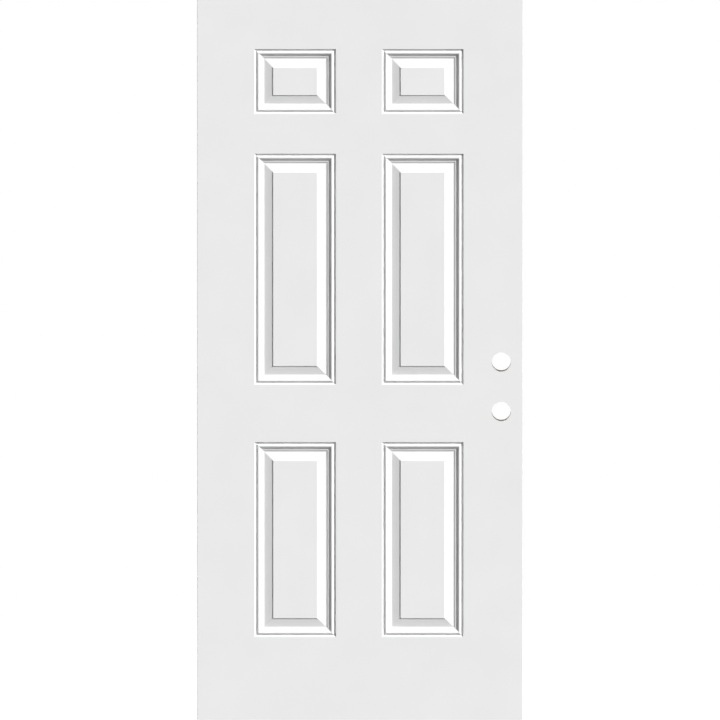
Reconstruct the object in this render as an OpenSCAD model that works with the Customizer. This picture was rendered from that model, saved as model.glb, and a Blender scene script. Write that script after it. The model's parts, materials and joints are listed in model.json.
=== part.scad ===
// Six-panel steel entry door slab: two embossed skins over a wood frame and a foam core.
// Millimetres. X runs from the hinge edge to the lock edge, -Y faces outdoors, Z is up.
// The origin is the middle of the slab's foot.

/* [Slab] */
// Width over both long edges
door_w = 914.4; // [762:0.1:1098]
// Height
door_h = 2032; // [1693:0.1:2440]
// Thickness over both steel faces
door_t = 44.45; // [37:0.01:54]

/* [Steel skins] */
// Thickness of the sheet
skin_t = 0.6; // [0.4:0.01:0.8]
// Inside radius of the folded edges
bend_r = 0.6; // [0.4:0.05:0.8]
// How far each skin wraps onto the long edges
return_w = 6; // [5:0.1:7.2]
// How far the hooked lip reaches in from the long edge
lip_d = 4; // [3:0.1:5]

/* [Panel layout] */
// From a long edge to the panels
side_margin = 162.5; // [130:0.5:200]
// How far the panels sit from the middle of the width, towards the hinge edge
panel_shift = 3; // [0:0.1:6]
// Between the two columns of panels
mullion_gap = 127; // [100:0.5:160]
// From the foot to the lowest panels
foot_margin = 234.1; // [150:0.1:290]
// Height of the lowest panels
low_panel_h = 552; // [400:1:670]
// Between the lowest and the middle panels
lock_rail_gap = 159.7; // [100:0.1:200]
// Between the middle and the top panels
upper_rail_gap = 110.1; // [80:0.1:140]
// Height of the top panels
top_panel_h = 184.7; // [140:0.1:230]
// From the top panels to the head
head_margin = 138.1; // [100:0.1:170]

/* [Panel moulding] */
// Flat strip between the layout line and the groove
lead_w = 1.2; // [1:0.1:3]
// Width of each side of the V groove
groove_side_w = 4.6; // [3.5:0.1:6]
// Depth of the V groove
groove_d = 6; // [3:0.1:7.2]
// Width of the bead inside the groove
bead_w = 4.2; // [3.4:0.1:6]
// Depth of the bead's crest
bead_d = 0.3; // [0.2:0.1:0.6]
// Depth of the bead's two sides
bead_side_d = 0.9; // [0.7:0.1:1.5]
// Width of the steep cove
cove_w = 7.2; // [6:0.1:12]
// Depth at the foot of the cove
cove_d = 7.2; // [5:0.1:8.8]
// Width of the ledge below the cove
ledge_w = 2.4; // [2:0.1:4]
// How far the ledge falls across its width
ledge_drop = 0.2; // [0.1:0.05:0.4]
// Width of the step down to the valley
step_w = 3.4; // [2.8:0.1:6]
// Depth of the valley, the deepest part of the moulding
valley_d = 9.8; // [8.1:0.1:11.8]
// Width of the valley's floor
valley_w = 2.6; // [1:0.1:4]
// Width of the raised panel's bevel
bevel_w = 21; // [15:0.1:30]
// Depth at the top of the bevel
bevel_top_d = 4; // [3:0.1:7]
// Width of the step up to the raised field
field_step_w = 2.6; // [2:0.1:5]
// Depth of the raised field below the face
field_d = 1; // [0.2:0.1:2]
// Radius of the moulding's creases
crease_r = 1.2; // [1:0.1:2]

/* [Frame and core] */
// Width of each stile
stile_w = 32; // [26:0.5:40]
// Height of the top rail
top_rail_h = 32; // [26:0.5:40]
// Height of the bottom rail
bottom_rail_h = 35; // [29:0.5:45]
// From the panels' layout line to the lock block
lock_block_gap = 22.5; // [15:0.5:30]
// Height of the lock block
lock_block_h = 343; // [285:1:420]
// Room past the tip of each lip in its kerf
kerf_room = 0.6; // [0.2:0.1:1.5]

/* [Lock preparation] */
// Height of the lockset bore
lockset_z = 871.4; // [800:0.1:1100]
// Height of the deadbolt bore above the lockset bore
bore_pitch = 139.7; // [116:0.1:168]
// From the lock edge to the bores
backset = 60.3; // [60.3:0.1:72.4]
// Diameter of the lockset and deadbolt bores
bore_d = 54; // [45:0.1:56]
// Diameter of the latch and bolt bores in the lock edge
latch_bore_d = 25.4; // [21:0.1:28]
// Height of a faceplate mortise
faceplate_h = 57.15; // [50:0.05:70]
// Width of a faceplate mortise
faceplate_w = 25.4; // [21:0.1:29]
// Depth of a faceplate mortise
faceplate_d = 3.2; // [2:0.1:4]
// Corner radius of a faceplate mortise
faceplate_r = 6.35; // [3:0.05:8]
// Distance between a faceplate's two screws
faceplate_screw_pitch = 41.3; // [38:0.1:48]
// Diameter of a faceplate's screw pilots
faceplate_pilot_d = 2.8; // [2:0.1:4]

/* [Hinge preparation] */
// Height of a hinge pocket
hinge_h = 101.6; // [85:0.1:122]
// Depth of a hinge pocket
hinge_d = 2.8; // [2:0.1:4]
// From the outdoor face to a hinge pocket
hinge_backset = 7.9; // [7.5:0.1:10]
// Corner radius of a hinge pocket
hinge_r = 15.9; // [3:0.1:16]
// From the head to the top hinge pocket
hinge_head_gap = 178; // [120:1:215]
// From the foot to the bottom hinge pocket
hinge_foot_gap = 279; // [200:1:335]
// Distance between a hinge's outer two screws
hinge_outer_pitch = 76.2; // [60:0.1:80]
// Distance between a hinge's inner two screws
hinge_inner_pitch = 30; // [20:0.1:40]
// From a hinge pocket's closed side to its outer screws
hinge_outer_y = 9.5; // [8:0.1:12]
// From a hinge pocket's closed side to its inner screws
hinge_inner_y = 22; // [18:0.1:24]
// Diameter of a hinge's screw pilots
hinge_pilot_d = 3.2; // [2.5:0.1:4]
// Depth of the screw pilots below their pocket
pilot_depth = 20; // [15:0.5:22]

/* [Sweep kerfs] */
// From the middle of the foot to each kerf
sweep_y = 9.5; // [7:0.1:12]
// Width of a kerf
sweep_w = 3.2; // [2.5:0.1:4]
// Depth of a kerf
sweep_d = 10; // [8:0.1:12]

/* [Corner staples] */
// Width of a staple's crown
staple_w = 12.7; // [10:0.1:16]
// Length of a staple's legs
staple_leg = 19; // [12:0.1:19]
// Thickness of the flattened wire
staple_wire = 1.4; // [1:0.1:1.8]
// From a rail's inner edge to the first staple
staple_inset = 6; // [5:0.1:8]
// Distance between a corner's two staples
staple_pitch = 12; // [9:0.1:13]
// How far the indoor staples sit along from the outdoor ones, so that their legs pass
staple_stagger = 3; // [2:0.1:4]

/* [Hidden] */
$fn = 48;

// How far a cut runs past the surface that it opens
over = 1;
// Straight pieces in each rounded crease of the moulding
crease_steps = 2;

// Thickness between the two skins
core_t = door_t - 2 * skin_t;
// Inner face of each stile, from the middle of the slab
stile_face = door_w / 2 - stile_w;
// Width of bare wood between the returns of the two skins
bare_w = door_t - 2 * return_w;
// Width of a kerf that takes a skin's lip
kerf_w = skin_t + bend_r;

// Panels: the middle row takes whatever height the others leave
panel_w = (door_w - 2 * side_margin - mullion_gap) / 2;
low_z = foot_margin;
mid_z = low_z + low_panel_h + lock_rail_gap;
top_z = door_h - head_margin - top_panel_h;
mid_panel_h = top_z - upper_rail_gap - mid_z;
// Each panel is [left, foot, width, height]
panels = [for (x = [-mullion_gap / 2 - panel_w - panel_shift, mullion_gap / 2 - panel_shift],
               row = [[low_z, low_panel_h], [mid_z, mid_panel_h], [top_z, top_panel_h]])
          [x, row[0], panel_w, row[1]]];

// Moulding: [width, depth reached] of each stretch, from the layout line inwards
stretches = [[lead_w, 0], [groove_side_w, groove_d], [groove_side_w, bead_side_d],
             [bead_w / 2, bead_d], [bead_w / 2, bead_side_d], [cove_w, cove_d],
             [ledge_w, cove_d + ledge_drop], [step_w, valley_d], [valley_w, valley_d],
             [bevel_w, bevel_top_d], [field_step_w, field_d], [lead_w, field_d]];

bore_x = door_w / 2 - backset;
bore_zs = [lockset_z, lockset_z + bore_pitch];
lock_block_z = lockset_z + bore_pitch / 2 - lock_block_h / 2;
lock_block_w = side_margin - stile_w - lock_block_gap;
hinge_low_z = hinge_foot_gap + hinge_h / 2;
hinge_top_z = door_h - hinge_head_gap - hinge_h / 2;
hinge_zs = [hinge_low_z, (hinge_low_z + hinge_top_z) / 2, hinge_top_z];
// Heights of the staples that cross each stile's joints with the rails
staple_zs = [for (k = [0, 1], d = staple_inset + k * staple_pitch)
             each [bottom_rail_h - d, door_h - top_rail_h + d]];

// ---- Moulding profile, as [inset, depth] points ----

function unit(v) = v / norm(v);
function across(v) = unit([-v.y, v.x]);

// Width of the first n stretches
function inset(n) = n == 0 ? 0 : stretches[n - 1][0] + inset(n - 1);

corners = concat([[0, 0]], [for (i = [1 : len(stretches)]) [inset(i), stretches[i - 1][1]]]);

// Points that round the corner at p between its neighbours a and b
function crease(a, p, b) =
    let (ua = unit(a - p), ub = unit(b - p), half = acos(ua * ub) / 2,
         run = min(crease_r / tan(half), 0.45 * min(norm(a - p), norm(b - p))),
         centre = p + unit(ua + ub) * run / cos(half),
         from = p + ua * run - centre, to = p + ub * run - centre,
         turn = sign(from.x * to.y - from.y * to.x) * (180 - 2 * half))
    [for (k = [0 : crease_steps])
        let (t = turn * k / crease_steps)
        centre + [from.x * cos(t) - from.y * sin(t), from.x * sin(t) + from.y * cos(t)]];

outer_path = concat([corners[0]],
                    [for (i = [1 : len(corners) - 2])
                        each crease(corners[i - 1], corners[i], corners[i + 1])],
                    [corners[len(corners) - 1]]);

// The sheet's inner side: each point moves in by the sheet's thickness
inner_path = [for (i = [0 : len(outer_path) - 1])
    let (last = len(outer_path) - 1,
         before = across(outer_path[max(i, 1)] - outer_path[max(i, 1) - 1]),
         after = across(outer_path[min(i, last - 1) + 1] - outer_path[min(i, last - 1)]),
         out = unit(before + after))
    outer_path[i] + out * skin_t / (out * before)];

// ---- Shared shapes ----

// The moulding's rectangle on one panel at the inset and depth of point p
function ring(panel, p) =
    let (x0 = panel[0] + p.x, x1 = panel[0] + panel[2] - p.x,
         z0 = panel[1] + p.x, z1 = panel[1] + panel[3] - p.x, y = -door_t / 2 + p.y)
    [[x0, y, z0], [x1, y, z0], [x1, y, z1], [x0, y, z1]];

// Solid through a list of four-point rings, closed at both ends
module ring_stack(rings) {
    sides = [for (i = [0 : len(rings) - 2], k = [0 : 3])
        [4 * i + (k + 1) % 4, 4 * i + k, 4 * (i + 1) + k, 4 * (i + 1) + (k + 1) % 4]];
    top = 4 * (len(rings) - 1);
    polyhedron([for (r = rings) each r],
               concat([[0, 1, 2, 3]], sides, [[top + 3, top + 2, top + 1, top]]), convexity = 10);
}

// Rectangle centred on X with round corners, standing on the line y = 0
module round_rect(w, h, r) {
    translate([-w / 2 + r, 0]) square([w - 2 * r, h]);
    translate([-w / 2, r]) square([w, h - 2 * r]);
    for (x = [-w / 2 + r, w / 2 - r], y = [r, h - r]) translate([x, y]) circle(r);
}

// Cylinder along Y through the whole slab
module cross_bore(x, z, d) {
    translate([x, 0, z]) rotate([90, 0, 0]) cylinder(d = d, h = door_t + 2 * over, center = true);
}

module lock_bores() {
    for (z = bore_zs) cross_bore(bore_x, z, bore_d);
}

// Bores from the lock edge to the lockset and deadbolt bores
module latch_bores() {
    for (z = bore_zs) translate([bore_x, 0, z]) rotate([0, 90, 0])
        cylinder(d = latch_bore_d, h = backset + over);
}

// ---- Steel skins ----

// Plan of a skin without its panels: face, returns and hooked lips
module skin_section() {
    translate([0, -door_t / 2]) difference() {
        round_rect(door_w, return_w, bend_r + skin_t);
        translate([0, skin_t]) round_rect(door_w - 2 * skin_t, return_w - 2 * skin_t, bend_r);
        translate([-door_w / 2 + lip_d, skin_t]) square([door_w - 2 * lip_d, return_w]);
    }
}

// One embossed panel of sheet
module pan(panel) {
    last = len(outer_path) - 1;
    ring_stack(concat([for (i = [last : -1 : 0]) ring(panel, inner_path[i])],
                      [for (p = outer_path) ring(panel, p)]));
}

module skin() {
    difference() {
        linear_extrude(door_h) skin_section();
        for (p = panels) translate([p[0], -door_t / 2 - over, p[1]])
            cube([p[2], skin_t + 2 * over, p[3]]);
        lock_bores();
        for (z = bore_zs) faceplate_mortise(z);
    }
    for (p = panels) pan(p);
}

// Room for the hinge leaves: the return and lip end there, and the face is notched
module hinge_notches() {
    for (z = hinge_zs) {
        translate([-door_w / 2 - over, door_t / 2 - return_w - over, z - hinge_h / 2])
            cube([hinge_d + over, return_w + 2 * over, hinge_h]);
        translate([-door_w / 2 - over, door_t / 2 - return_w - over, z - hinge_h / 2])
            cube([lip_d + 2 * over, return_w - skin_t + over, hinge_h]);
    }
}

module front_skin() {
    color("whitesmoke") skin();
}

module back_skin() {
    color("gainsboro") difference() {
        mirror([0, 1, 0]) skin();
        hinge_notches();
    }
}

// ---- Wood frame ----

// Plan of the stile at the lock edge: rebated for the returns, kerfed for the lips
module stile_section() {
    difference() {
        union() {
            translate([stile_face, -core_t / 2]) square([stile_w - skin_t - bend_r, core_t]);
            translate([stile_face, -core_t / 2 + bend_r])
                square([stile_w - skin_t, core_t - 2 * bend_r]);
            for (s = [-1, 1]) translate([door_w / 2 - skin_t - bend_r, s * (core_t / 2 - bend_r)])
                circle(bend_r);
            translate([stile_face, -bare_w / 2]) square([stile_w, bare_w]);
        }
        for (s = [0, 1]) mirror([0, s]) translate([door_w / 2 - lip_d - kerf_room, bare_w / 2])
            square([lip_d + kerf_room + over, kerf_w]);
    }
}

// Two kerfs along the foot that take the barbs of a door sweep
module sweep_kerfs() {
    for (s = [-1, 1]) translate([-door_w / 2 - over, s * sweep_y - sweep_w / 2, -over])
        cube([door_w + 2 * over, sweep_w, sweep_d + over]);
}

// Pocket for one hinge leaf with its four screw pilots, on the hinge edge
module hinge_pocket(z) {
    front = -door_t / 2 + hinge_backset;
    leaf_w = door_t - hinge_backset + over;
    translate([-door_w / 2 + hinge_d, front, z]) rotate([0, -90, 0])
        linear_extrude(hinge_d + over) {
            translate([-hinge_h / 2, hinge_r]) square([hinge_h, leaf_w - hinge_r]);
            translate([-hinge_h / 2 + hinge_r, 0]) square([hinge_h - 2 * hinge_r, leaf_w]);
            for (s = [-1, 1]) translate([s * (hinge_h / 2 - hinge_r), hinge_r]) circle(hinge_r);
        }
    for (screw = [[hinge_outer_y, hinge_outer_pitch], [hinge_inner_y, hinge_inner_pitch]],
         s = [-1, 1])
        translate([-door_w / 2, front + screw[0], z + s * screw[1] / 2]) rotate([0, 90, 0])
            cylinder(d = hinge_pilot_d, h = hinge_d + pilot_depth);
}

// Mortise for one faceplate with its two screw pilots, on the lock edge
module faceplate_mortise(z) {
    translate([door_w / 2 - faceplate_d, 0, z - faceplate_h / 2]) rotate([90, 0, 90])
        linear_extrude(faceplate_d + over) round_rect(faceplate_w, faceplate_h, faceplate_r);
    for (s = [-1, 1])
        translate([door_w / 2 - faceplate_d - pilot_depth, 0, z + s * faceplate_screw_pitch / 2])
            rotate([0, 90, 0]) cylinder(d = faceplate_pilot_d, h = pilot_depth + over);
}

module hinge_stile() {
    color("burlywood") difference() {
        mirror([1, 0, 0]) linear_extrude(door_h) stile_section();
        for (z = hinge_zs) hinge_pocket(z);
        sweep_kerfs();
        staples();
    }
}

module lock_stile() {
    color("burlywood") difference() {
        linear_extrude(door_h) stile_section();
        for (z = bore_zs) faceplate_mortise(z);
        latch_bores();
        lock_bores();
        sweep_kerfs();
        staples();
    }
}

module rail(z, h) {
    difference() {
        translate([-stile_face, -core_t / 2, z]) cube([2 * stile_face, core_t, h]);
        sweep_kerfs();
        staples();
    }
}

module top_rail() {
    color("tan") rail(door_h - top_rail_h, top_rail_h);
}

module bottom_rail() {
    color("dimgray") rail(0, bottom_rail_h);
}

// ---- Core ----

// The lock block's outline, made wider by grow in Y and towards the lock edge
module lock_block_blank(grow) {
    translate([stile_face - lock_block_w, -core_t / 2 - grow, lock_block_z])
        cube([lock_block_w + grow, core_t + 2 * grow, lock_block_h]);
}

module lock_block() {
    color("peru") difference() {
        lock_block_blank(0);
        lock_bores();
        latch_bores();
    }
}

// What one panel takes out of the core: everything outside the sheet's inner side
module pan_recess(panel) {
    last = len(inner_path) - 1;
    brim = [inner_path[1].x, skin_t - over];
    ring_stack(concat([for (i = [last : -1 : 1]) ring(panel, inner_path[i])],
                      [ring(panel, brim)]));
}

module foam_core() {
    color("khaki") difference() {
        translate([-stile_face, -core_t / 2, bottom_rail_h])
            cube([2 * stile_face, core_t, door_h - top_rail_h - bottom_rail_h]);
        lock_block_blank(over);
        for (side = [0, 1], p = panels) mirror([0, side, 0]) pan_recess(p);
    }
}

// ---- Fasteners ----

// A staple driven into the outdoor side, its crown flush with the wood
module staple(x, z) {
    translate([x, -core_t / 2, z - staple_wire / 2]) {
        translate([-staple_w / 2, 0, 0]) cube([staple_w, staple_wire, staple_wire]);
        for (s = [-1, 1]) translate([s * (staple_w - staple_wire) / 2 - staple_wire / 2, 0, 0])
            cube([staple_wire, staple_leg, staple_wire]);
    }
}

module staples() {
    for (side = [0, 1], x = [-stile_face, stile_face], z = staple_zs)
        mirror([0, side, 0]) staple(x + side * staple_stagger, z);
}

module corner_staples() {
    color("silver") staples();
}

front_skin();
back_skin();
hinge_stile();
lock_stile();
top_rail();
bottom_rail();
lock_block();
foam_core();
corner_staples();
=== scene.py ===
"""Looks of a six-panel steel entry door slab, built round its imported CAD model.

Lengths are in metres. X runs from the hinge edge to the lock edge, -Y faces outdoors, Z is up.
"""
import json
import math

import bpy
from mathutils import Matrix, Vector
from mathutils.geometry import delaunay_2d_cdt


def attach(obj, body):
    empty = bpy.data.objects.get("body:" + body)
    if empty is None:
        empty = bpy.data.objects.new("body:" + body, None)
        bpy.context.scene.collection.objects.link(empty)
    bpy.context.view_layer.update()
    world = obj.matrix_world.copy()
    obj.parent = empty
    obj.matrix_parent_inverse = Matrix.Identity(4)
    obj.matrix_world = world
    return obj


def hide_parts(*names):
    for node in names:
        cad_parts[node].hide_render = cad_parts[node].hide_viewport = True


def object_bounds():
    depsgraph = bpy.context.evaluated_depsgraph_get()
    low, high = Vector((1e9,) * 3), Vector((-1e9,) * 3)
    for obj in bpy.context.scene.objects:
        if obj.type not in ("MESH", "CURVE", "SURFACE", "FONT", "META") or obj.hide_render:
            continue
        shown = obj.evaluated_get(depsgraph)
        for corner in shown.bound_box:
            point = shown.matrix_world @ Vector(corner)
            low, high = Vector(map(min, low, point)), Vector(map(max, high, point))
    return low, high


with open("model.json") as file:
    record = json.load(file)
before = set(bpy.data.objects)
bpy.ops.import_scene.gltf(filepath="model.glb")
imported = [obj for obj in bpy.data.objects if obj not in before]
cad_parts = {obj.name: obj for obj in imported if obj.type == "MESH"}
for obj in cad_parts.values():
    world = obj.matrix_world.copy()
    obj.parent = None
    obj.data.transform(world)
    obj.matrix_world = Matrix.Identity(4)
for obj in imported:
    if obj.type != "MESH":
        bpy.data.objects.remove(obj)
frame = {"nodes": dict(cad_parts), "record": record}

CAD_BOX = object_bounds()
HALF_W, HALF_T, HEIGHT = CAD_BOX[1]
MM = 0.001
MOUNTS = {mount["name"]: mount for mount in frame["record"]["mounts"]}

# ---- Sizes of the steel skins, as in the CAD model ----

SKIN_T = 0.6 * MM
FOLD_R = 1.2 * MM           # outside radius of the folded edges
RETURN_W = 6 * MM           # how far a skin wraps onto the long edges
LIP_D = 4 * MM              # how far its hooked lip reaches in
SIDE_MARGIN = 162.5 * MM
PANEL_SHIFT = 3 * MM        # the panels sit this much nearer the hinge edge
MULLION_GAP = 127 * MM
FOOT_MARGIN = 234.1 * MM
LOW_PANEL_H = 552 * MM
LOCK_RAIL_GAP = 159.7 * MM
UPPER_RAIL_GAP = 110.1 * MM
TOP_PANEL_H = 184.7 * MM
HEAD_MARGIN = 138.1 * MM
HINGE_POCKET_H = 101.6 * MM
CREASE_R = 1.2 * MM         # radius of the moulding's creases
MITRE_R = 1.0 * MM          # radius of its corners, seen from the front
# Each stretch of the moulding, from the layout line inwards: its width and the depth it reaches
MOULDING = {
    "lead": (1.2 * MM, 0),
    "groove_in": (4.6 * MM, 6 * MM),
    "groove_out": (4.6 * MM, 0.9 * MM),
    "bead_rise": (2.1 * MM, 0.3 * MM),
    "bead_fall": (2.1 * MM, 0.9 * MM),
    "cove": (7.2 * MM, 7.2 * MM),
    "ledge": (2.4 * MM, 7.4 * MM),
    "step": (3.4 * MM, 9.8 * MM),
    "valley": (2.6 * MM, 9.8 * MM),
    "bevel": (21 * MM, 4 * MM),
    "field_step": (2.6 * MM, 1 * MM),
    "field_edge": (1.2 * MM, 1 * MM),
}
CREASE_SHARE = 0.45         # the most of a neighbouring stretch that a crease may take
CREASE_STEPS = 6
MITRE_STEPS = 4
FOLD_STEPS = 8
BORE_STEPS = 128
POINTS_PER_M = 1e7          # points that agree to this grain are one point
SHARP_ANGLE = 60            # degrees: a sharper bend in the mesh shows as an edge


# ---- Moulding profile and panels ----

def across(v):
    """Unit vector at a right angle to v, pointing into the slab."""
    return Vector((-v.y, v.x)).normalized()


def crease(before, corner, after):
    """Points of the arc that rounds one corner of the moulding's profile."""
    to_before, to_after = (before - corner).normalized(), (after - corner).normalized()
    half = to_before.angle(to_after) / 2
    shortest = min((before - corner).length, (after - corner).length)
    run = min(CREASE_R / math.tan(half), CREASE_SHARE * shortest)
    centre = corner + (to_before + to_after).normalized() * run / math.cos(half)
    start, end = corner + to_before * run - centre, corner + to_after * run - centre
    turn = math.copysign(math.pi - 2 * half, start.cross(end))
    points = []
    for k in range(CREASE_STEPS + 1):
        c, s = math.cos(turn * k / CREASE_STEPS), math.sin(turn * k / CREASE_STEPS)
        points.append(centre + Vector((start.x * c - start.y * s, start.x * s + start.y * c)))
    return points


def moulding_paths():
    """The sheet's outer and inner side across the moulding, as (inset, depth) points."""
    corners = [Vector((0, 0))]
    for width, depth in MOULDING.values():
        corners.append(Vector((corners[-1].x + width, depth)))
    outer = [corners[0]]
    for k in range(1, len(corners) - 1):
        outer += crease(*corners[k - 1:k + 2])
    outer.append(corners[-1])
    normals = [across(b - a) for a, b in zip(outer, outer[1:])]
    inner = []
    for k, point in enumerate(outer):
        n0, n1 = normals[max(k - 1, 0)], normals[min(k, len(normals) - 1)]
        out = (n0 + n1).normalized()
        inner.append(point + out * SKIN_T / out.dot(n0))
    return outer, inner


def panels():
    """Each panel's layout line as (left, right, foot, head)."""
    width = HALF_W - SIDE_MARGIN - MULLION_GAP / 2
    low = FOOT_MARGIN
    mid = low + LOW_PANEL_H + LOCK_RAIL_GAP
    top = HEIGHT - HEAD_MARGIN - TOP_PANEL_H
    rows = [(low, low + LOW_PANEL_H), (mid, top - UPPER_RAIL_GAP), (top, top + TOP_PANEL_H)]
    near, far = MULLION_GAP / 2, MULLION_GAP / 2 + width
    columns = [(-far - PANEL_SHIFT, -near - PANEL_SHIFT), (near - PANEL_SHIFT, far - PANEL_SHIFT)]
    return [(*column, *row) for column in columns for row in rows]


def ring(panel, inset):
    """A panel's rectangle at an inset, with small round corners, as (x, z) points."""
    left, right, foot, head = panel
    corners = [(right - inset, foot + inset, -90), (right - inset, head - inset, 0),
               (left + inset, head - inset, 90), (left + inset, foot + inset, 180)]
    points = []
    for x, z, start in corners:
        cx = x - math.copysign(MITRE_R, x - (left + right) / 2)
        cz = z - math.copysign(MITRE_R, z - (foot + head) / 2)
        for k in range(MITRE_STEPS + 1):
            a = math.radians(start + 90 * k / MITRE_STEPS)
            points.append((cx + MITRE_R * math.cos(a), cz + MITRE_R * math.sin(a)))
    return points


# ---- Sheet-metal mesh: every point has a place on the sheet's outer and inner side ----

class Sheet:
    """A thin sheet as a mesh. Points are (x, depth below the slab's face, z)."""

    def __init__(self, side):
        self.side = side    # -1 for the outdoor face and 1 for the indoor one
        self.outer, self.inner, self.faces, self.index = [], [], [], {}

    def point(self, outer, inner):
        key = tuple(round(c * POINTS_PER_M) for c in outer)
        if key not in self.index:
            self.index[key] = len(self.outer)
            self.outer.append(outer)
            self.inner.append(inner)
        return self.index[key]

    def flat_point(self, x, z):
        return self.point((x, 0, z), (x, SKIN_T, z))

    def grid(self, rows, closed=False):
        """Quads between rows of points of equal length."""
        for a, b in zip(rows, rows[1:]):
            pairs = list(zip(range(len(a)), range(1, len(a))))
            if closed:
                pairs.append((len(a) - 1, 0))
            self.faces += [(a[i], a[j], b[j], b[i]) for i, j in pairs]

    def mesh(self, name):
        """Both sides of the sheet, joined along its open edges."""
        n = len(self.outer)
        place = [(x, self.side * (HALF_T - d), z) for x, d, z in self.outer + self.inner]
        count = {}
        for face in self.faces:
            for a, b in zip(face, face[1:] + face[:1]):
                count[a, b] = count.get((a, b), 0) + 1
        open_edges = [(a, b) for a, b in count if (b, a) not in count]
        faces = [list(f) for f in self.faces]
        faces += [[i + n for i in reversed(f)] for f in self.faces]
        faces += [[b, a, a + n, b + n] for a, b in open_edges]
        if self.side > 0:
            faces = [f[::-1] for f in faces]
        mesh = bpy.data.meshes.new(name)
        mesh.from_pydata(place, [], faces)
        cut_edge = [0] * (2 * len(self.faces)) + [1] * len(open_edges)
        mesh.polygons.foreach_set("material_index", cut_edge)
        mesh.polygons.foreach_set("use_smooth", [True] * len(faces))
        mesh.set_sharp_from_angle(angle=math.radians(SHARP_ANGLE))
        mesh.validate()
        return mesh


def inside(loop, x, z):
    """Whether a point lies inside a closed (x, z) loop."""
    hit = False
    for (x0, z0), (x1, z1) in zip(loop, loop[1:] + loop[:1]):
        if (z0 > z) != (z1 > z) and x < x0 + (z - z0) * (x1 - x0) / (z1 - z0):
            hit = not hit
    return hit


def add_flat(sheet, outline, holes):
    """The sheet's flat face: the outline less the holes, as triangles."""
    points, edges = [], []
    for loop in [outline, *holes]:
        first = len(points)
        points += [Vector(p) for p in loop]
        edges += [(first + k, first + (k + 1) % len(loop)) for k in range(len(loop))]
    made = delaunay_2d_cdt(points, edges, [], 1, 1 / POINTS_PER_M)
    for face in made[2]:
        corners = [made[0][i] for i in face]
        middle = sum(corners, Vector((0, 0))) / len(corners)
        if inside(outline, *middle) and not any(inside(h, *middle) for h in holes):
            ids = [sheet.flat_point(*c) for c in corners]
            sheet.faces.append(tuple(ids))


def add_pan(sheet, panel):
    """One embossed panel: the moulding's rings and the raised field."""
    outer, inner = moulding_paths()
    rings = []
    for p, q in zip(outer, inner):
        rings.append([sheet.point((x, p.y, z), (xi, q.y, zi))
                      for (x, z), (xi, zi) in zip(ring(panel, p.x), ring(panel, q.x))])
    sheet.grid(rings, closed=True)
    sheet.faces.append(tuple(rings[-1]))


def fold_section():
    """A long edge's plan from the flat face round to the lip's tip: (outer, inner) points,
    each as its distance in from the edge and its depth."""
    fold_in = FOLD_R - SKIN_T
    section = []
    for turn_depth, start in ((FOLD_R, -90), (RETURN_W - FOLD_R, 0)):
        for k in range(FOLD_STEPS + 1):
            a = math.radians(start + 90 * k / FOLD_STEPS)
            section.append(tuple((FOLD_R - r * math.cos(a), turn_depth + r * math.sin(a))
                                 for r in (FOLD_R, fold_in)))
    section.append(((LIP_D, RETURN_W), (LIP_D, RETURN_W - SKIN_T)))
    return section


def add_fold(sheet, end, z0, z1):
    """The folded edge, return and lip between two heights, at the edge X = end * HALF_W."""
    columns = []
    for (outer_in, outer_d), (inner_in, inner_d) in fold_section():
        xo, xi = end * (HALF_W - outer_in), end * (HALF_W - inner_in)
        columns.append([sheet.point((xo, outer_d, z), (xi, inner_d, z)) for z in (z0, z1)])
    sheet.grid(columns if end < 0 else [c[::-1] for c in columns])


def bore_loop(mount):
    """A through bore's outline as (x, z) points."""
    x, _, z = mount["pos_m"]
    r = mount["dims"]["r_mm"] * MM
    turns = [2 * math.pi * k / BORE_STEPS for k in range(BORE_STEPS)]
    return [(x + r * math.cos(a), z + r * math.sin(a)) for a in turns]


def skin(name, side, hinges):
    """One steel skin. hinges are the hinge pockets' (low, high) heights on its hinge edge."""
    sheet = Sheet(side)
    flat_x = HALF_W - FOLD_R
    pocket_x = MOUNTS["top_hinge_pocket"]["pos_m"][0]
    outline = [(flat_x, 0), (flat_x, HEIGHT), (-flat_x, HEIGHT)]
    spans, top = [], HEIGHT
    for low, high in sorted(hinges, reverse=True):
        outline += [(-flat_x, high), (pocket_x, high), (pocket_x, low), (-flat_x, low)]
        spans.append((high, top))
        top = low
    spans.append((0, top))
    outline.append((-flat_x, 0))
    bores = [bore_loop(MOUNTS[bore]) for bore in ("deadbolt_bore", "lockset_bore")]
    add_flat(sheet, outline, [ring(p, 0) for p in panels()] + bores)
    for panel in panels():
        add_pan(sheet, panel)
    add_fold(sheet, 1, 0, HEIGHT)
    for z0, z1 in spans:
        add_fold(sheet, -1, z0, z1)
    piece = bpy.data.objects.new(name, sheet.mesh(name))
    bpy.context.scene.collection.objects.link(piece)
    weighted = piece.modifiers.new("flat_faces_stay_flat", "WEIGHTED_NORMAL")
    weighted.keep_sharp = True
    return piece


# ---- Materials ----

FINGER_T = 4 * MM           # across one finger of a finger joint
FINGER_REACH = 11 * MM
JOINT_GLUE = 0.5 * MM
RING_W = 2.3 * MM
RING_WANDER = 6 * MM        # how far the growth rings stray from true circles
PITH_NEAR = 24 * MM         # how near a piece's middle lay to the tree's centre, and how far
PITH_FAR = 60 * MM
PLY_T = 3.1 * MM
PLY_WOBBLE = 0.5 * MM
PLY_GLUE = 0.09             # share of a ply that is its glue line


def material(name):
    """A new material with its node tree and its shader."""
    made = bpy.data.materials.new(name)
    made.use_nodes = True
    return made, made.node_tree, made.node_tree.nodes["Principled BSDF"]


def add(tree, kind, inputs, **settings):
    """A new node: an input that is given a socket is linked, and any other is set."""
    node = tree.nodes.new(kind)
    for key, value in settings.items():
        setattr(node, key, value)
    for key, value in inputs.items():
        if isinstance(value, bpy.types.NodeSocket):
            tree.links.new(value, node.inputs[key])
        else:
            node.inputs[key].default_value = value
    return node


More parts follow.
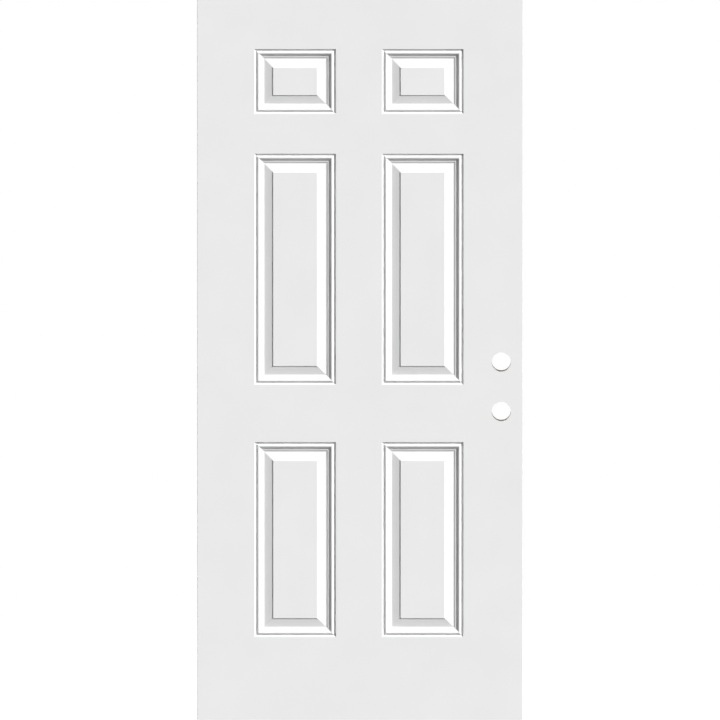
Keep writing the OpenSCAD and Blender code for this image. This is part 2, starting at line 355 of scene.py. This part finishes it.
def math_node(tree, operation, *values):
    """The result socket of a Math node."""
    node = add(tree, "ShaderNodeMath", dict(enumerate(values)), operation=operation)
    return node.outputs[0]


def noise(tree, vector, scale, detail=2.0, roughness=0.5):
    node = add(tree, "ShaderNodeTexNoise", {
        "Vector": vector, "Scale": scale, "Detail": detail, "Roughness": roughness})
    return node.outputs["Fac"]


def stretched(tree, vector, scale):
    """Coordinates multiplied by a scale for each axis."""
    return add(tree, "ShaderNodeMapping", {"Vector": vector, "Scale": scale}).outputs[0]


def ramp(tree, value, stops):
    """A colour ramp through (position, colour) stops."""
    node = add(tree, "ShaderNodeValToRGB", {"Fac": value})
    points = node.color_ramp.elements
    for k, (position, colour) in enumerate(stops):
        point = points[k] if k < 2 else points.new(position)
        point.position, point.color = position, (*colour, 1)
    return node.outputs["Color"]


def spread(tree, value, low, high):
    """A 0 to 1 value spread between two others."""
    node = add(tree, "ShaderNodeMapRange", {"Value": value, "To Min": low, "To Max": high})
    return node.outputs[0]


def bump(tree, shader, height, distance, strength=1.0):
    """Relief of that height in metres on the shader's normal."""
    node = add(tree, "ShaderNodeBump",
               {"Height": height, "Distance": distance, "Strength": strength})
    tree.links.new(node.outputs[0], shader.inputs["Normal"])


def shaded(tree, colour, shade):
    """A colour made darker or lighter by a factor."""
    node = add(tree, "ShaderNodeVectorMath", {0: colour, "Scale": shade}, operation="SCALE")
    return node.outputs[0]


def object_place(tree):
    return tree.nodes.new("ShaderNodeTexCoord").outputs["Object"]


def grey(level):
    return (level, level, level)


def primed_steel():
    """White factory primer on smooth steel: faint orange peel, and a slightly uneven sheen."""
    made, tree, shader = material("primed_steel")
    place = object_place(tree)
    clouds = noise(tree, place, 7, 3)
    colour = ramp(tree, clouds, [(0.3, grey(0.79)), (0.7, grey(0.81))])
    tree.links.new(colour, shader.inputs["Base Color"])
    sheen = spread(tree, noise(tree, place, 55, 3), 0.44, 0.56)
    tree.links.new(sheen, shader.inputs["Roughness"])
    peel = noise(tree, place, 650, 2)
    bump(tree, shader, peel, 0.05 * MM, 0.25)
    return made


def cut_steel():
    """The sheet's cut edge: bare zinc-coated steel with fine shear marks."""
    made, tree, shader = material("cut_steel")
    marks = noise(tree, stretched(tree, object_place(tree), (900, 200, 900)), 1, 2)
    colour = ramp(tree, marks, [(0.3, (0.40, 0.41, 0.42)), (0.7, (0.58, 0.59, 0.60))])
    tree.links.new(colour, shader.inputs["Base Color"])
    shader.inputs["Metallic"].default_value = 0.9
    tree.links.new(spread(tree, marks, 0.35, 0.6), shader.inputs["Roughness"])
    bump(tree, shader, marks, 0.03 * MM)
    return made


def finger_joints(tree, depth, length, piece_length):
    """Which length of wood a point is in, and how far along it, from 0 to 1. A zigzag across
    the thickness shifts where each length ends."""
    finger = math_node(tree, "PINGPONG", math_node(tree, "MULTIPLY", depth, 1 / FINGER_T), 1)
    jagged = math_node(tree, "MULTIPLY_ADD", finger, FINGER_REACH, length)
    at = math_node(tree, "DIVIDE", jagged, piece_length)
    return math_node(tree, "FLOOR", at), math_node(tree, "FRACT", at)


def latewood(tree, side, depth, local):
    """How dark a growth ring is at a point that is measured from the tree's centre."""
    wander = spread(tree, noise(tree, local, 14, 3), -RING_WANDER, RING_WANDER)
    squares = math_node(tree, "MULTIPLY", side, side)
    reach = math_node(tree, "SQRT", math_node(tree, "MULTIPLY_ADD", depth, depth, squares))
    ring_at = math_node(tree, "DIVIDE", math_node(tree, "ADD", reach, wander), RING_W)
    into_ring = math_node(tree, "FRACT", ring_at)
    return math_node(tree, "POWER", math_node(tree, "PINGPONG", into_ring, 0.8), 2.5)


def pine(name, along, piece_length):
    """Finger-jointed pine, with its grain along axis number along."""
    made, tree, shader = material(name)
    place = add(tree, "ShaderNodeSeparateXYZ", {"Vector": object_place(tree)}).outputs
    length, depth = place[along], place[1]
    side = place[0 if along == 2 else 2]
    order, into = finger_joints(tree, depth, length, piece_length)
    chance = add(tree, "ShaderNodeTexWhiteNoise", {"W": order}, noise_dimensions="1D")
    pick = add(tree, "ShaderNodeSeparateXYZ", {"Vector": chance.outputs["Color"]}).outputs
    # Each length was sawn at its own place from the tree's centre
    side_c = math_node(tree, "ADD", side, spread(tree, pick[0], -PITH_FAR, PITH_FAR))
    depth_c = math_node(tree, "ADD", depth, spread(tree, pick[1], PITH_NEAR, PITH_FAR))
    local = add(tree, "ShaderNodeCombineXYZ", {
        "X": side_c, "Y": depth_c, "Z": math_node(tree, "MULTIPLY", length, 0.12)}).outputs[0]
    late = latewood(tree, side_c, depth_c, local)
    fibres = noise(tree, stretched(tree, local, (1400, 1400, 90)), 1, 4, 0.65)
    tone = math_node(tree, "MULTIPLY_ADD", fibres, 0.6, math_node(tree, "MULTIPLY", late, 0.8))
    wood = ramp(tree, tone, [(0.15, (0.70, 0.55, 0.36)), (0.9, (0.44, 0.28, 0.15)),
                             (0.45, (0.62, 0.46, 0.28))])
    # Each length has its own tone, and a thin glue line darkens each joint
    glue = math_node(tree, "LESS_THAN", into, JOINT_GLUE / piece_length)
    shade = math_node(tree, "MULTIPLY", spread(tree, pick[2], 0.84, 1.04),
                      spread(tree, glue, 1, 0.62))
    tree.links.new(shaded(tree, wood, shade), shader.inputs["Base Color"])
    tree.links.new(spread(tree, late, 0.62, 0.5), shader.inputs["Roughness"])
    bump(tree, shader, tone, 0.08 * MM)
    return made


def veneer_lumber():
    """Laminated veneer lumber: plies through the thickness, with dark glue lines. Its brown is
    darker than real veneer lumber, as painted shade on the bores' walls.
    """
    made, tree, shader = material("veneer_lumber")
    point = object_place(tree)
    place = add(tree, "ShaderNodeSeparateXYZ", {"Vector": point}).outputs
    wobble = spread(tree, noise(tree, point, 25, 2), -PLY_WOBBLE, PLY_WOBBLE)
    ply_at = math_node(tree, "DIVIDE", math_node(tree, "ADD", place[1], wobble), PLY_T)
    chance = add(tree, "ShaderNodeTexWhiteNoise", {"W": math_node(tree, "FLOOR", ply_at)},
                 noise_dimensions="1D").outputs["Value"]
    fibres = noise(tree, stretched(tree, point, (700, 300, 45)), 1, 4, 0.6)
    tone = math_node(tree, "MULTIPLY_ADD", chance, 0.5, math_node(tree, "MULTIPLY", fibres, 0.5))
    # Darker, greyer brown than real veneer lumber: partly the wood's colour, partly painted shade
    # for the walls of the bores
    wood = ramp(tree, tone, [(0.15, (0.17, 0.135, 0.105)), (0.85, (0.36, 0.29, 0.225))])
    glue = math_node(tree, "LESS_THAN", math_node(tree, "FRACT", ply_at), PLY_GLUE)
    tinted = shaded(tree, wood, spread(tree, glue, 1, 0.4))
    tree.links.new(tinted, shader.inputs["Base Color"])
    shader.inputs["Roughness"].default_value = 0.7
    bump(tree, shader, fibres, 0.15 * MM)
    return made


def composite():
    """Wood fibre and plastic, extruded: dark, with pale flecks and faint draw lines."""
    made, tree, shader = material("composite")
    point = object_place(tree)
    flecks = add(tree, "ShaderNodeTexVoronoi", {
        "Vector": stretched(tree, point, (250, 800, 800)), "Scale": 1.0}).outputs["Distance"]
    lines = noise(tree, stretched(tree, point, (6, 700, 700)), 1, 2)
    tone = math_node(tree, "MULTIPLY_ADD", lines, 0.5, math_node(tree, "MULTIPLY", flecks, 0.6))
    colour = ramp(tree, tone, [(0.2, (0.26, 0.21, 0.16)), (0.9, (0.11, 0.09, 0.075)),
                               (0.3, (0.15, 0.125, 0.10))])
    tree.links.new(colour, shader.inputs["Base Color"])
    shader.inputs["Roughness"].default_value = 0.62
    bump(tree, shader, tone, 0.08 * MM)
    return made


def foam():
    """Rigid closed-cell foam: pale yellow cells."""
    made, tree, shader = material("foam")
    point = object_place(tree)
    cells = add(tree, "ShaderNodeTexVoronoi", {"Vector": point, "Scale": 900.0})
    tone = math_node(tree, "MULTIPLY_ADD", noise(tree, point, 18, 3), 0.5,
                     math_node(tree, "MULTIPLY", cells.outputs["Distance"], 0.5))
    colour = ramp(tree, tone, [(0.2, (0.74, 0.62, 0.33)), (0.8, (0.85, 0.76, 0.50))])
    tree.links.new(colour, shader.inputs["Base Color"])
    shader.inputs["Roughness"].default_value = 0.85
    bump(tree, shader, cells.outputs["Distance"], 0.3 * MM)
    return made


def staple_wire():
    """Flattened zinc-coated wire with lengthwise drawing marks."""
    made, tree, shader = material("staple_wire")
    marks = noise(tree, stretched(tree, object_place(tree), (60, 60, 2500)), 1, 3)
    colour = ramp(tree, marks, [(0.3, (0.42, 0.42, 0.44)), (0.7, (0.62, 0.62, 0.64))])
    tree.links.new(colour, shader.inputs["Base Color"])
    shader.inputs["Metallic"].default_value = 1.0
    tree.links.new(spread(tree, marks, 0.3, 0.45), shader.inputs["Roughness"])
    return made


def finish_node(name, finish):
    """Gives a carried-over CAD node its material."""
    slots = frame["nodes"][name].data.materials
    slots.clear()
    slots.append(finish)


# ---- The object ----

def build():
    hinges = []
    for place in ("bottom", "middle", "top"):
        middle = MOUNTS[place + "_hinge_pocket"]["pos_m"][2]
        hinges.append((middle - HINGE_POCKET_H / 2, middle + HINGE_POCKET_H / 2))
    face, edge = primed_steel(), cut_steel()
    for name, node, side, pockets in (("outdoor_skin", "front_skin", -1, []),
                                      ("indoor_skin", "back_skin", 1, hinges)):
        piece = skin(name, side, pockets)
        piece.data.materials.append(face)
        piece.data.materials.append(edge)
        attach(piece, "root")
        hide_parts(node)
    upright = pine("pine_upright", along=2, piece_length=520 * MM)
    finish_node("hinge_stile", upright)
    finish_node("lock_stile", upright)
    finish_node("top_rail", pine("pine_level", along=0, piece_length=380 * MM))
    finish_node("bottom_rail", composite())
    finish_node("lock_block", veneer_lumber())
    finish_node("foam_core", foam())
    finish_node("corner_staples", staple_wire())


# ---- Studio ----

KEY_FROM = (1.1, -1.0, 0.93)
KEY_STRENGTH = 5.1
BACK_FROM = (-1.0, 1.0, 0.4)
BACK_STRENGTH = 3.4
SUN_WIDTH = 5               # degrees across, which sets how soft the shadows are
AMBIENT = 0.12              # strength of the even light from all round
LENS_MM = 1500              # long, so that the slab shows as squarely as in a catalogue
SENSOR_MM = 36
CAMERA_RISE = 5             # degrees above level
OVERFILL = 1.0008           # the slab runs just past the picture at its head and foot
AIM_LIFT = 0.8 * MM         # how far above the slab's middle the camera looks
FLOOR_HALF = 3
FLOOR_GLOW = 0.98           # keeps the floor white under any shadow


def sun(name, come_from, strength):
    light = bpy.data.lights.new(name, "SUN")
    light.energy = strength
    light.angle = math.radians(SUN_WIDTH)
    lamp = bpy.data.objects.new(name, light)
    lamp.rotation_mode = "QUATERNION"
    lamp.rotation_quaternion = Vector(come_from).to_track_quat("Z", "Y")
    bpy.context.scene.collection.objects.link(lamp)


def white_world():
    """White behind the object, and a softer even light on it."""
    world = bpy.data.worlds.new("studio")
    world.use_nodes = True
    tree = world.node_tree
    seen = add(tree, "ShaderNodeLightPath", {}).outputs["Is Camera Ray"]
    background = tree.nodes["Background"]
    background.inputs["Color"].default_value = (1, 1, 1, 1)
    tree.links.new(spread(tree, seen, AMBIENT, 1), background.inputs["Strength"])
    bpy.context.scene.world = world


def floor_paint():
    """White by its own glow, with a faint grain."""
    made, tree, shader = material("studio_floor")
    grain = noise(tree, object_place(tree), 30, 2)
    colour = ramp(tree, grain, [(0.0, grey(0.04)), (1.0, grey(0.06))])
    tree.links.new(colour, shader.inputs["Base Color"])
    shader.inputs["Emission Color"].default_value = (1, 1, 1, 1)
    shader.inputs["Emission Strength"].default_value = FLOOR_GLOW
    shader.inputs["Roughness"].default_value = 0.9
    return made


def white_floor():
    """A studio floor, which only the camera sees, so it throws no light back."""
    mesh = bpy.data.meshes.new("floor")
    corners = [(x * FLOOR_HALF, y * FLOOR_HALF, 0)
               for x, y in ((-1, -1), (1, -1), (1, 1), (-1, 1))]
    mesh.from_pydata(corners, [], [(0, 1, 2, 3)])
    floor = bpy.data.objects.new("floor", mesh)
    mesh.materials.append(floor_paint())
    floor.visible_diffuse = False
    floor.visible_glossy = False
    bpy.context.scene.collection.objects.link(floor)


def camera():
    """Square on to the outdoor face, which fills the picture's height."""
    data = bpy.data.cameras.new("camera")
    data.lens, data.sensor_width = LENS_MM, SENSOR_MM
    lens = bpy.data.objects.new("camera", data)
    rise = math.radians(CAMERA_RISE)
    half_view = math.atan(SENSOR_MM / 2 / LENS_MM)
    distance = HEIGHT / 2 * math.cos(rise) / math.tan(half_view) / OVERFILL
    target = Vector((0, -HALF_T, HEIGHT / 2 + AIM_LIFT))
    back = Vector((0, -math.cos(rise), math.sin(rise)))
    lens.location = target + back * distance
    lens.rotation_mode = "QUATERNION"
    lens.rotation_quaternion = back.to_track_quat("Z", "Y")
    data.clip_end = 4 * distance
    bpy.context.scene.collection.objects.link(lens)
    bpy.context.scene.camera = lens


def studio():
    bpy.context.scene.view_settings.view_transform = "Standard"
    sun("key", KEY_FROM, KEY_STRENGTH)
    sun("back", BACK_FROM, BACK_STRENGTH)
    white_world()
    white_floor()
    camera()


build()
studio()
